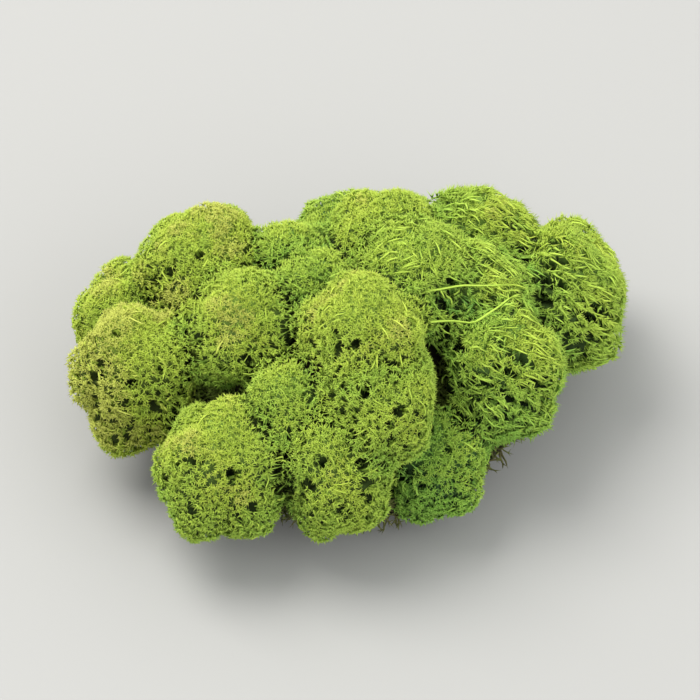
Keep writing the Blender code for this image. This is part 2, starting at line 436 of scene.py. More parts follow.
class SoftNoise:
    """Smooth random field from about -1 to 1, with patches of a given size."""

    def __init__(self, size, seed, count=12):
        random = np.random.RandomState(seed)
        lengths = size * random.uniform(1.2, 2.6, (count, 1))
        self.waves = unit(random.normal(size=(count, 3))) * 2 * math.pi / lengths
        self.phases = random.uniform(0, 2 * math.pi, count)

    def __call__(self, points):
        total = np.sin(points @ self.waves.T + self.phases).sum(axis=1)
        return np.clip(total / math.sqrt(len(self.phases)) / 1.2, -1, 1)


RELIEF = SoftNoise(5, 11)
PATCHES = SoftNoise(9, 12)
RIDGES = SoftNoise(1.3, 14, 24)
RAGGED = SoftNoise(0.7, 15, 16)
FLOW = [SoftNoise(8, 21), SoftNoise(8, 22), SoftNoise(8, 23)]


def mound_reach(directions):
    """Distance from the mound's centre to its rounded surface, before its cell bounds it."""
    height = np.where(directions[:, 2] > 0, MOUND_UPPER_HEIGHT, MOUND_LOWER_HEIGHT)
    width = np.full(len(directions), MOUND_HALF_WIDTH)
    depth = np.full(len(directions), MOUND_HALF_DEPTH)
    return 1 / np.linalg.norm(directions / np.stack((width, depth, height), axis=1), axis=1)


def inside_mound(points):
    """Points well inside the dark middle of the mound of old stems."""
    offsets = points - MOUND_CENTRE
    return np.linalg.norm(offsets, axis=1) < mound_reach(unit(offsets)) * MIDDLE_SHARE - MOUND_MARGIN


def mound_planes(heads):
    """Planes that keep the old stems below every head."""
    planes = [(DOWN, MOUND_CENTRE[2])]
    for head in heads:
        axis = head.stem_axis()
        foot = head.centre + axis * STEM_CUT * head.extent(axis)
        planes.append((-axis, float((foot - MOUND_CENTRE) @ -axis)))
    return planes


class Head:
    """Place, lumpy dome and cell of one head, with soft creases towards its neighbours."""

    def __init__(self, index, name):
        x, y, z, radius, tallness = HEADS[name]
        self.name = name
        self.centre = np.array((x, y, z), dtype=float)
        self.radius = radius
        self.stretch = np.array((1.0, 1.0, tallness))
        self.random = np.random.RandomState(HEAD_SEED + index)
        directions = spread_directions(LUMP_COUNT, LUMP_LOWEST)
        directions = unit(directions + self.random.normal(0, LUMP_JITTER, directions.shape))
        size = 1 + self.random.uniform(-LUMP_JITTER, LUMP_JITTER, LUMP_COUNT)
        middle = np.zeros((1, 3))
        self.lump_centres = np.vstack((directions * LUMP_OFFSET * radius, middle))
        self.lump_radii = np.append(LUMP_RADIUS * radius * size, MIDDLE_RADIUS * radius)
        self.planes = [(DOWN, z - FLOOR_CLEARANCE)]
        self.near = [self]

    def dome(self, directions):
        """Offsets from the centre to the lumpy surface, before the cell bounds it."""
        directions = unit(directions)
        along = directions @ self.lump_centres.T
        beyond = self.lump_radii ** 2 - (self.lump_centres ** 2).sum(axis=1) + along ** 2
        reach = np.where(beyond > 0, along + np.sqrt(np.maximum(beyond, 0)), 0)
        reach = LUMP_BLEND * np.log(np.exp(reach / LUMP_BLEND).sum(axis=1))
        return directions * reach[:, None] * self.stretch

    def extent(self, normal):
        """How far the head's ellipsoid reaches along a unit normal."""
        return self.radius * np.linalg.norm(self.stretch * normal)

    def stem_axis(self):
        """Unit vector from the head's centre down to the foot of its stem."""
        foot = self.centre * FOOT_SHARE + MOUND_CENTRE * (1 - FOOT_SHARE)
        foot[2] = FOOT_HEIGHT
        return unit(foot - self.centre)

    def level(self, points):
        """How far points lie outside the dome, seen from the head's centre; negative inside."""
        offsets = points - self.centre
        reach = np.linalg.norm(self.dome(offsets / self.stretch), axis=1)
        return np.linalg.norm(offsets, axis=1) - reach

    def merged_level(self, points):
        """Level above this head and its neighbours, blended where they meet, and above each."""
        levels = np.stack([head.level(points) for head in self.near])
        return -BLEND * np.log(np.exp(-levels / BLEND).sum(axis=0)), levels

    def merged_reach(self, directions):
        """Unit vectors from the head's centre and the distance to the merged surface along them."""
        start = self.dome(directions)
        outward = unit(start)
        reach = np.linalg.norm(start, axis=1)
        for _ in range(LEVEL_STEPS):
            reach = reach - LEVEL_DAMPING * self.merged_level(self.centre + outward * reach[:, None])[0]
        return outward, reach

    def surface(self, spacing, random):
        """Points spread over the head's share of the merged surface, normals and creases."""
        count = self.sphere_count(spacing)
        directions = spread_directions(count)
        jitter = SURFACE_JITTER * spacing / self.radius
        directions = unit(directions + random.normal(0, jitter, (count, 3)))
        outward, reach = self.merged_reach(directions)
        points = self.centre + outward * reach[:, None]
        merged, levels = self.merged_level(points)
        own = levels[0] - levels.min(axis=0)
        crease = crease_of(levels)
        steps = [self.merged_level(points + axis * SLOPE_STEP)[0] - merged for axis in np.eye(3)]
        normals = unit(np.stack(steps, axis=1))
        keep = (own < BORDER) & (points[:, 2] > FLOOR_CLEARANCE)
        keep &= outward @ self.stem_axis() < STEM_SIDE_COSINE
        keep &= ~inside_mound(points)
        return points[keep], normals[keep], crease[keep]

    def sphere_count(self, spacing):
        """How many points this far apart cover the whole dome."""
        area = 4 * math.pi * self.radius ** 2 * self.stretch[2] ** 0.7
        return int(area / (CELL_AREA * spacing ** 2))


def crease_of(levels):
    """How close points lie to the crease between two heads, from their levels above each: 0 to 1."""
    lowest = np.partition(levels, 1, axis=0)[:2]
    return np.exp(-(lowest[1] - lowest[0]) / CREASE_WIDTH)


def bound_cells(heads):
    """Give each head the planes between it, its neighbours and the old stems."""
    for first in heads:
        for second in heads:
            if first is second:
                continue
            between = second.centre - first.centre
            distance = np.linalg.norm(between)
            normal = between / distance
            near = first.extent(normal)
            far = second.extent(normal)
            if NEIGHBOUR_MARGIN * (near + far) < distance:
                continue
            first.near.append(second)
            first.planes.append((normal, (distance ** 2 + near ** 2 - far ** 2) / (2 * distance)))
        axis = first.stem_axis()
        first.planes.append((axis, STEM_CUT * first.extent(axis)))


class Strands:
    """Closed tapering strands with three sides, gathered as arrays and made into one mesh."""

    sides = 3

    def __init__(self):
        self.points = []
        self.triangles = []
        self.tips = []
        self.tones = []
        self.total = 0

    def add(self, paths, radii, tips, tones, random):
        """Add strands: paths is strands x stations x 3, and the last station is the pointed end."""
        count, stations = paths.shape[:2]
        if count == 0:
            return
        rings = stations - 1
        ahead = np.concatenate((paths[:, 1:2] - paths[:, :1], paths[:, 2:] - paths[:, :-2]), axis=1)
        along = unit(ahead)
        helper = random.normal(size=(count, 1, 3))
        across = unit(helper - (helper * along).sum(axis=2, keepdims=True) * along)[:, :, None]
        other = np.cross(along, across[:, :, 0])[:, :, None]
        angles = np.arange(self.sides)[:, None] * 2 * math.pi / self.sides
        circle = np.cos(angles) * across + np.sin(angles) * other
        radii = np.broadcast_to(radii, (count, rings))
        tips = np.broadcast_to(tips, (count, stations))
        body = paths[:, :rings, None] + radii[:, :, None, None] * circle
        points = np.concatenate((body.reshape(count, -1, 3), paths[:, -1:]), axis=1)
        self.points.append(points.reshape(-1, 3))
        ring_tips = np.repeat(tips[:, :rings], self.sides, axis=1)
        self.tips.append(np.concatenate((ring_tips, tips[:, -1:]), axis=1).ravel())
        shift = np.append(np.tile(np.linspace(-1, 1, self.sides), rings), 0) * VALUE_MARGIN
        self.tones.append((np.broadcast_to(tones, count)[:, None] + shift).ravel())
        template = self.template(rings)
        size = rings * self.sides + 1
        offsets = self.total + np.arange(count)[:, None, None] * size
        self.triangles.append((template[None] + offsets).reshape(-1, 3))
        self.total += count * size

    def template(self, rings):
        """Triangles of one strand: a closed start, the sides, and a pointed end."""
        triangles = [(0, 2, 1)]
        for ring in range(rings - 1):
            for side in range(self.sides):
                a = ring * self.sides + side
                b = ring * self.sides + (side + 1) % self.sides
                triangles += [(a, b, b + self.sides), (a, b + self.sides, a + self.sides)]
        last = (rings - 1) * self.sides
        for side in range(self.sides):
            triangles.append((last + side, last + (side + 1) % self.sides, rings * self.sides))
        return np.array(triangles)

    def add_solid(self, points, triangles, tip, tone):
        """Add a closed solid that already has its triangles."""
        self.points.append(points)
        self.triangles.append(np.asarray(triangles) + self.total)
        self.tips.append(np.broadcast_to(tip, len(points)).copy())
        self.tones.append(np.broadcast_to(tone, len(points)).copy())
        self.total += len(points)

    def make(self, name, material):
        """One mesh object of all the strands, with tip value and tone as attributes and as UVs."""
        points = np.concatenate(self.points) * MM
        triangles = np.concatenate(self.triangles)
        tips = np.clip(np.concatenate(self.tips), VALUE_MARGIN, 1 - VALUE_MARGIN)
        tones = np.clip(np.concatenate(self.tones), VALUE_MARGIN, 1 - VALUE_MARGIN)
        mesh = bpy.data.meshes.new(name)
        mesh.vertices.add(len(points))
        mesh.vertices.foreach_set("co", points.ravel())
        mesh.loops.add(triangles.size)
        mesh.loops.foreach_set("vertex_index", triangles.ravel().astype(np.int32))
        mesh.polygons.add(len(triangles))
        mesh.polygons.foreach_set("loop_start", np.arange(0, triangles.size, 3, dtype=np.int32))
        mesh.polygons.foreach_set("use_smooth", np.ones(len(triangles), dtype=bool))
        mesh.update(calc_edges=True)
        for label, values in (("tip", tips), ("tone", tones)):
            attribute = mesh.attributes.new(label, "FLOAT", "POINT")
            attribute.data.foreach_set("value", values.astype(np.float32))
        layer = mesh.uv_layers.new(name="OFBake")
        corners = triangles.ravel()
        layer.data.foreach_set("uv", np.stack((tips[corners], tones[corners]), axis=1).ravel())
        piece = bpy.data.objects.new(name, mesh)
        bpy.context.scene.collection.objects.link(piece)
        mesh.materials.append(material)
        return piece


class Holes:
    """Small openings where three tufts meet, mostly on a head's sides, drawn out where combed."""

    def __init__(self, sites, normals, crease, order, ranked, comb, random):
        near = (ranked[:, 2] - ranked[:, 0] < HOLE_MEETING) & (crease < HOLE_CREASE)
        corners = np.sort(order[near], axis=1)
        group = np.unique(corners, axis=0, return_inverse=True)[1].ravel()
        group, centres = means_of(group, sites[near])
        axes = unit(means_of(group, normals[near])[1])
        chance = HOLE_CHANCE + COMB_CHANCE * comb - HOLE_TOP_LOSS * axes[:, 2]
        chosen = random.uniform(size=len(centres)) < np.clip(chance, *HOLE_CHANCE_LIMITS)
        radii = random.uniform(*HOLE_RADII, len(centres)) * (1 - COMB_NARROWING * comb)
        apart = np.linalg.norm(centres[:, None] - centres[None], axis=2)
        kept = []
        for index in np.flatnonzero(chosen):
            if all(apart[index, kept] > radii[index] + radii[kept] + HOLE_GAP):
                kept.append(index)
        self.centres = centres[kept]
        self.axes = axes[kept]
        self.radii = radii[kept]
        self.stretch = 1 + COMB_STRETCH * comb
        self.ways = flow_along(self.centres, self.axes, comb)

    def nearest(self, points):
        """Distance from the nearest hole's axis, as a share of its radius, and the offset across."""
        if len(self.radii) == 0:
            return np.full(len(points), FAR_AWAY), np.zeros(points.shape)
        offsets = points[:, None] - self.centres
        along = (offsets * self.axes).sum(axis=2, keepdims=True)
        across = offsets - along * self.axes
        drawn = (across * self.ways).sum(axis=2, keepdims=True) * self.ways
        share = np.linalg.norm(across - drawn * (1 - 1 / self.stretch), axis=2) / self.radii
        share *= 1 + HOLE_EDGE * RAGGED(points)[:, None]
        share = np.where(along[:, :, 0] > -HOLE_DEPTH, share, FAR_AWAY)
        rows = np.arange(len(points))
        closest = share.argmin(axis=1)
        return share[rows, closest], across[rows, closest]

    def push_out(self, points, share=1.0):
        """Move points that lie in a hole out to its rim."""
        distance, across = self.nearest(points)
        factor = np.maximum(share / np.maximum(distance, LEAST_DISTANCE), 1)
        return points + across * (factor - 1)[:, None]


def means_of(group, points):
    """Renumber groups without gaps, and give each group's mean point."""
    group = np.unique(group, return_inverse=True)[1]
    size = np.bincount(group)
    means = [np.bincount(group, weights=points[:, axis]) / size for axis in range(3)]
    return group, np.stack(means, axis=1)


def grouped(points, spacing, head, random):
    """Group points by evenly spread directions from the head's centre; give groups and means."""
    seeds = spread_directions(max(head.sphere_count(spacing), LEAST_GROUPS))
    jitter = GROUP_JITTER / math.sqrt(len(seeds))
    seeds = unit(seeds + random.normal(0, jitter, seeds.shape))
    nearest = np.argmax(unit(points - head.centre) @ seeds.T, axis=1)
    return means_of(nearest, points)


def ridge_height(points, normals, comb):
    """Height from 1 on fine ridges to 0 and less between them, drawn out along the comb's way."""
    way = unit(COMB_WAY)
    along = (points @ way)[:, None] * way
    crossing = np.abs(RIDGES(points - along * RIDGE_DRAW * comb))
    width = RIDGE_SIDE + (RIDGE_TOP - RIDGE_SIDE) * np.clip(normals[:, 2], 0, 1) ** 2
    return 1 - crossing / (width * (1 - RIDGE_NARROWING * comb))


def flow_along(points, normals, comb):
    """Directions that lie in the surface: a soft swirl that turns into the comb's way."""
    way = np.stack([field(points) for field in FLOW], axis=1) * (1 - comb) + COMB_WAY * comb * 2
    return unit(way - (way * normals).sum(axis=1, keepdims=True) * normals)


def openness(normals, crease):
    """How open to the sky points of the surface are: 0 below and in creases, 1 on top."""
    return np.clip(SIDE_OPENNESS + normals[:, 2] * TOP_OPENNESS, 0, 1) * (1 - CREASE_SHADE * crease)


def hollow_at(points):
    """How far points lie in the hollow on the shoulder, which painted shade darkens: 0 to 1."""
    return np.exp(-(((points - HOLLOW_CENTRE) / HOLLOW_HALF_LENGTHS) ** 2).sum(axis=1) ** 2)


def ring_of_ways(axes, count, random):
    """Unit vectors across the axes, in a number of steps evenly round them, with some scatter."""
    helper = unit(np.cross(axes, random.normal(size=axes.shape)))
    other = np.cross(axes, helper)
    for step in range(count):
        around = step * 2 * math.pi / count + random.normal(0, STAR_SCATTER, len(axes))
        yield np.cos(around)[:, None] * helper + np.sin(around)[:, None] * other


def grow_head(head):
    """All strands of one head."""
    random = head.random
    strands = Strands()
    comb = COMBED.get(head.name, 0.0)
    sites, normals, crease = head.surface(SITE_SPACING, random)
    ridge = ridge_height(sites, normals, comb)
    tufts = head.surface(TUFT_SPACING, random)[0]
    distance = np.linalg.norm(sites[:, None] - tufts[None], axis=2)
    order = np.argsort(distance, axis=1)[:, :3]
    ranked = np.take_along_axis(distance, order, axis=1)
    holes = Holes(sites, normals, crease, order, ranked, comb, random)
    kept = (ridge > 0) & (holes.nearest(sites)[0] > 1)
    sites, normals, crease = sites[kept], normals[kept], crease[kept]
    ridge, ranked = ridge[kept], ranked[kept]
    tuft, tuft_mean = means_of(order[kept, 0], sites)

    # Painted shade: tips darker and tone bluer on sides, undersides and in creases, by how open each
    # point is to the sky
    side = openness(normals, crease)
    base_tone = TONES.get(head.name, PLAIN_TONE)
    tuft_tone = random.normal(0, TONE_SCATTER, len(tuft_mean))
    tone = base_tone + TONE_PATCHES * PATCHES(sites) + tuft_tone[tuft]
    tone += TONE_LIFT - TONE_SHADE * (1 - side)
    plain = base_tone - TONE_INSIDE
    # Painted shade in the hollow on the shoulder: its tone drops and its tips darken
    hollow = hollow_at(sites)
    # Tone rises towards the clump's left edge, where the tips turn paler and straw-coloured
    straw_tint = np.clip((STRAW_TINT_EDGE - sites[:, 0]) / STRAW_TINT_WIDTH, 0, 1)
    tone = tone - HOLLOW_TONE * hollow + STRAW_TINT_TONE * straw_tint
    side = side * (1 - hollow) - HOLLOW_SHADE * hollow

    relief = RELIEF_HEIGHT * RELIEF(sites)[:, None] - STAR_DEPTH - HOLLOW_DEPTH * hollow[:, None]
    sag = TUFT_SAG * ranked[:, :1] + random.uniform(0, STAR_UNEVENNESS, (len(sites), 1))
    relief += RIDGE_HEIGHT * (ridge[:, None] - 0.5)
    sites = sites + normals * (relief - sag + STAR_LIFT)

    tuft_joint = add_boughs(strands, head, tuft_mean, holes, plain, random)
    add_twigs(strands, tuft_joint[tuft], sites, holes, tone, side, random)
    axis = unit(unit(sites - tuft_joint[tuft]) + normals * STAR_UPRIGHT)
    add_stars(strands, sites, axis, holes, comb, tone, side, random)
    add_rims(strands, head, holes, plain + RIM_TONE, random)
    add_under_stars(strands, head, holes, plain + UNDER_TONE, random)
    add_fibres(strands, head, sites, normals, holes, comb, tone, side, random)
    if head.name == BARE_HEAD:
        add_bare_strands(strands, random)
    add_core(strands, head, holes, plain)
    return strands


def add_boughs(strands, head, tuft_mean, holes, tone, random):
    """Limbs and boughs from the stem up to a joint inside each tuft; give these joints."""
    inward = head.centre - tuft_mean
    tuft_joint = tuft_mean + unit(inward) * TUFT_DEPTH + random.normal(0, TUFT_JITTER, tuft_mean.shape)
    tuft_joint = holes.push_out(tuft_joint, TUFT_CLEARANCE)
    bough, bough_mean = grouped(tuft_joint, BOUGH_SPACING, head, random)
    bough_joint = head.centre + (bough_mean - head.centre) * BOUGH_SHARE
    bough_joint += random.normal(0, BOUGH_JITTER, bough_mean.shape)
    limb, limb_mean = grouped(bough_joint, LIMB_SPACING, head, random)
    root = head.centre + head.stem_axis() * STEM_CUT * head.extent(head.stem_axis())
    limb_joint = head.centre + (limb_mean - head.centre) * LIMB_SHARE + (root - head.centre) * ROOT_PULL
    limb_joint += random.normal(0, LIMB_JITTER, limb_mean.shape)
    stem = np.repeat(root[None], len(limb_joint), axis=0)
    add_limbs(strands, stem, limb_joint, LIMB_RADII, LIMB_TIPS, tone, random)
    add_limbs(strands, limb_joint[limb], bough_joint, BOUGH_RADII, BOUGH_TIPS, tone, random)
    add_limbs(strands, bough_joint[bough], tuft_joint, TUFT_RADII, TUFT_TIPS, tone, random)
    return tuft_joint


def add_limbs(strands, starts, ends, radii, tips, tones, random):
    """Strands from joint to joint, with one bend."""
    length = np.linalg.norm(ends - starts, axis=1, keepdims=True)
    middle = (starts + ends) / 2 + random.normal(size=starts.shape) * length * LIMB_SWAY
    beyond = ends + unit(ends - middle) * radii[1]
    paths = np.stack((starts, middle, ends, beyond), axis=1)
    widths = (radii[0], (radii[0] + radii[1]) / 2, radii[1])
    depths = (tips[0], (tips[0] + tips[1]) / 2, tips[1], tips[1])
    strands.add(paths, widths, depths, tones, random)


def add_twigs(strands, starts, ends, holes, tone, side, random):
    """Last twigs, from a tuft's joint to each star."""
    length = np.linalg.norm(ends - starts, axis=1, keepdims=True)
    starts = holes.push_out(starts + random.normal(size=starts.shape) * length * TWIG_SWAY)
    tips = TWIG_TIPS - TWIG_SHADE * (1 - side)[:, None]
    strands.add(np.stack((starts, ends), axis=1), TWIG_RADIUS, tips, tone, random)


def add_stars(strands, sites, axis, holes, comb, tone, side, random):
    """Star of pointed branchlets at the end of each twig."""
    lean = unit(COMB_WAY - (axis @ COMB_WAY)[:, None] * axis)
    start = sites - axis * STAR_ROOT
    tips = STAR_TIPS - STAR_SHADE * (1 - side)[:, None]
    radii = (STAR_RADIUS - STAR_THINNING * np.clip(side, 0, 1))[:, None]
    for across in ring_of_ways(axis, STAR_POINTS, random):
        spread = random.uniform(*STAR_SPREADS, (len(sites), 1))
        way = unit(axis + across * spread + lean * comb * COMB_LEAN)
        length = random.uniform(*STAR_LENGTHS, (len(sites), 1)) * (1 + COMB_LENGTHENING * comb)
        paths = np.stack((start, holes.push_out(start + way * length, STAR_CLEARANCE)), axis=1)
        point_tone = tone + random.normal(0, POINT_TONE_SCATTER, len(sites))
        strands.add(paths, radii, tips, point_tone, random)


def add_bare_strands(strands, random):
    """Long pale strands with a few short side branches."""
    for stations in BARE_STRANDS:
        line = np.array(stations)
        line[0] -= UP * BARE_START_SINK
        line[-1] -= UP * BARE_END_SINK
        places = np.linspace(0, len(line) - 1, BARE_STATIONS)
        path = np.stack([np.interp(places, np.arange(len(line)), column) for column in line.T], axis=1)
        path[1:-1] += random.normal(0, BARE_SWAY, (len(path) - 2, 3))
        for _ in range(BARE_SMOOTHINGS):
            path[1:-1] = (path[:-2] + 2 * path[1:-1] + path[2:]) / 4
        tips = np.linspace(*BARE_TIPS, len(path))
        strands.add(path[None], np.linspace(*BARE_RADII, len(path) - 1), tips, BARE_TONE, random)
        starts = path[BRANCH_EVERY:-1:BRANCH_EVERY]
        before = path[BRANCH_EVERY - 1:-2:BRANCH_EVERY]
        ways = unit(unit(starts - before) + random.normal(0, BRANCH_WANDER, starts.shape))
        ends = starts + ways * BRANCH_LENGTH - UP * BRANCH_DROOP
        paths = np.stack((starts, starts + ways * BRANCH_BEND, ends), axis=1)
        strands.add(paths, BRANCH_RADII, BRANCH_TIP, BARE_TONE, random)


def add_rims(strands, head, holes, tone, random):
    """Thicker strands that curve around the holes."""
    count = len(holes.radii)
    other = np.cross(holes.axes, holes.ways)
    stretch = min(holes.stretch, RIM_STRETCH)
    for _ in range(RIM_ARCS):
        first = random.uniform(0, 2 * math.pi, (count, 1))
        turn = first + random.uniform(*RIM_TURNS, (count, 1)) * np.linspace(0, 1, RIM_STATIONS)
        drift = random.uniform(0, RIM_DRIFT, (count, 2)) @ CROSSFADE
        reach = (holes.radii + RIM_CLEARANCE)[:, None] + drift
        long = (np.cos(turn) * reach * stretch)[:, :, None] * holes.ways[:, None]
        short = (np.sin(turn) * reach)[:, :, None] * other[:, None]
        uneven = random.normal(0, RIM_UNEVENNESS, (count, RIM_STATIONS, 3))
        paths = holes.centres[:, None] + long + short + uneven
        level = head.merged_level(paths.reshape(-1, 3))[0].reshape(count, RIM_STATIONS)
        level = np.clip(level, -RIM_LEVEL_LIMIT, RIM_LEVEL_LIMIT)
        sink = STAR_DEPTH + random.uniform(0, RIM_SINK, (count, 2)) @ CROSSFADE
        paths = paths - holes.axes[:, None] * (level + sink)[:, :, None]
        radii = RIM_RADII * random.uniform(*RIM_THICKNESSES, (count, 1))
        strands.add(paths, radii, RIM_TIPS, tone, random)


def add_under_stars(strands, head, holes, tone, random):
    """Deeper layers of small stars, darkened with painted shade: all over, along the creases, and low
    in the holes.
    """
    sites, normals, crease = head.surface(UNDER_SPACING, random)
    closed = holes.nearest(sites)[0] > 1
    layers = ((closed, 0.0), (closed & (crease > CREASE_FILL), CREASE_LAYER), (~closed, HOLE_LAYER))
    for chosen, depth in layers:
        normal = normals[chosen]
        count = len(normal)
        sink = UNDER_DEPTH + LAYER_DEPTH * depth + random.uniform(0, UNDER_UNEVENNESS, (count, 1))
        middle = sites[chosen] - normal * sink
        closeness = 1 - openness(normal, crease[chosen])[:, None]
        tips = UNDER_TIPS - UNDER_SHADE * closeness - LAYER_SHADE * depth ** 2
        for across in ring_of_ways(normal, UNDER_POINTS, random):
            way = unit(normal * UNDER_RISE + across)
            end = middle + way * random.uniform(*UNDER_LENGTHS, (count, 1))
            if depth < HOLE_LAYER:
                end = holes.push_out(end)
            paths = np.stack((middle - way * UNDER_ROOT, end), axis=1)
            strands.add(paths, UNDER_RADIUS, tips, tone, random)


def add_fibres(strands, head, sites, normals, holes, comb, tone, side, random):
    """Longer fine strands that lie over the stars, following a soft flow or the comb's way."""
    chosen = random.uniform(size=len(sites)) < FIBRE_CHANCE + FIBRE_COMB_CHANCE * comb
    point, normal = sites[chosen], normals[chosen]
    count = len(point)
    way = flow_along(point, normal, comb)
    stations = [point - normal * FIBRE_ROOT]
    for _ in range(FIBRE_BENDS):
        way = unit(way + random.normal(0, FIBRE_WANDER, way.shape) + normal * FIBRE_RISE)
        point = holes.push_out(stations[-1] + way * random.uniform(*FIBRE_STEPS, (count, 1)))
        level = head.merged_level(point)[0] + STAR_DEPTH
        stations.append(point - normal * np.clip(level, -1, 1)[:, None] * FIBRE_CLING)
    tips = FIBRE_TIPS - FIBRE_SHADE * (1 - side[chosen])[:, None]
    radii = FIBRE_RADII * (1 + FIBRE_THICKENING * comb)
    strands.add(np.stack(stations, axis=1), radii, tips, tone[chosen], random)


def add_core(strands, head, holes, tone):
    """Dense inside of a head, seen only through its gaps and deeper under its holes, coloured dark as
    painted shade.
    """
    directions, triangles = ball_grid()
    outward, reach = head.merged_reach(directions)
    surface = hold_in_cell(outward * reach[:, None], head.planes, CORE_OVERLAP)
    reach = np.linalg.norm(surface, axis=1)
    for _ in range(CORE_STEPS):
        level, levels = head.merged_level(head.centre + outward * reach[:, None])
        crease = crease_of(levels)
        reach = reach - np.clip(level + CORE_DEPTH + CREASE_DEPTH * crease, 0, CORE_LONGEST_STEP)
    reach = reach + head.random.uniform(-CORE_UNEVENNESS, CORE_UNEVENNESS, len(reach))
    surface = outward * np.maximum(reach, CORE_LEAST_RADIUS)[:, None]
    pit = np.exp(-(holes.nearest(surface + head.centre)[0] / PIT_WIDTH) ** 4)
    surface *= 1 - PIT_DEPTH * pit[:, None]
    # Painted light and shade: the inside is lighter on top, darker in creases and darkest in the pits
    # under the holes
    tip = CORE_TIP + CORE_TOP_TIP * np.clip(directions[:, 2], 0, 1) ** 2
    tip = tip * (1 - pit) * (1 - CORE_CREASE_SHADE * crease)
    strands.add_solid(surface + head.centre, triangles, tip, tone)


def grow_old_stems(heads):
    """Tangle of old stems: a middle, dark as painted shade, wrapped in bent, forking strands."""
    random = np.random.RandomState(TANGLE_SEED)
    planes = mound_planes(heads)
    strands = Strands()
    add_middle(strands, planes, random)
    starts = stem_starts(heads, planes, random)
    count = len(starts)
    outward = unit(starts * MOUND_FLATNESS)
    along = np.cross(outward, random.normal(size=outward.shape))
    heading = unit(along + outward * STEM_LEAN_OUT + UP * STEM_LEAN_UP)
    stations = [starts]
    for _ in range(STEM_BENDS):
        heading = unit(heading + random.normal(0, STEM_WANDER, heading.shape))
        point = stations[-1] + heading * random.uniform(*STEM_STEPS, (count, 1))
        outside = np.linalg.norm(point, axis=1) / mound_reach(unit(point))
        stations.append(point / np.maximum(outside / STEM_REACH, 1)[:, None])
    paths = np.stack(stations, axis=1) + MOUND_CENTRE
    paths[:, :, 2] = np.maximum(paths[:, :, 2], STEM_CLEARANCE)
    radii = np.linspace(*STEM_RADII, STEM_BENDS) * random.uniform(*STEM_THICKNESSES, (count, 1))
    # Old stems darker towards the bottom, by their height
    height = paths[:, :, 2].mean(axis=1)
    root_tips = np.clip(STEM_TIP + height / STEM_TIP_HEIGHT, 0, STEM_TIP_HIGHEST)
    root_tips += random.normal(0, STEM_TIP_SCATTER, count)
    tips = root_tips[:, None] + np.linspace(0, STEM_TIP_RISE, STEM_BENDS + 1)
    tones = STEM_TONE + random.normal(0, STEM_TONE_SCATTER, count)
    strands.add(paths, radii, tips, tones, random)
    ends = paths[:, -2]
    for _ in range(FORK_COUNT):
        fork = unit(heading + random.normal(0, FORK_WANDER, heading.shape))
        fork = np.stack((ends, ends + fork * random.uniform(*FORK_LENGTHS, (count, 1))), axis=1)
        fork[:, :, 2] = np.maximum(fork[:, :, 2], FORK_CLEARANCE)
        strands.add(fork, radii[:, -1:] * FORK_THINNING, tips[:, -2:], FORK_TONE, random)
    return strands


def add_middle(strands, planes, random):
    """Middle of the tangle, dark as painted shade and a little lighter higher up, seen only between its
    strands.
    """
    directions, triangles = ball_grid()
    middle = directions * (mound_reach(directions) * MIDDLE_SHARE)[:, None]
    middle *= 1 + random.uniform(-MIDDLE_UNEVENNESS, MIDDLE_UNEVENNESS, (len(middle), 1))
    middle = hold_in_cell(middle, planes, MIDDLE_SLACK)
    middle[:, 2] = np.maximum(middle[:, 2], MIDDLE_LOWEST - MOUND_CENTRE[2])
    tip = MIDDLE_TIP + MIDDLE_TIP_RISE * (middle[:, 2] + MOUND_CENTRE[2])
    strands.add_solid(middle + MOUND_CENTRE, triangles, tip, MIDDLE_TONE)


def stem_starts(heads, planes, random):
    """Starts of the old stems, as offsets from the mound's centre, where no head covers them."""
    height = np.sqrt(random.uniform(size=STEM_TRIES))
    z = STEM_LOWEST + (STEM_HIGHEST - STEM_LOWEST) * height
    turn = random.uniform(0, 2 * math.pi, STEM_TRIES)
    ring = np.sqrt(1 - z ** 2)
    starts = np.stack((ring * np.cos(turn), ring * np.sin(turn), z), axis=1)
    starts = starts * (mound_reach(starts) * MIDDLE_SHARE)[:, None]
    starts = hold_in_cell(starts, planes, MIDDLE_SLACK)
    cover = np.min([head.level(starts + MOUND_CENTRE) for head in heads], axis=0)
    return starts[cover > -STEM_COVER][:STEM_COUNT]


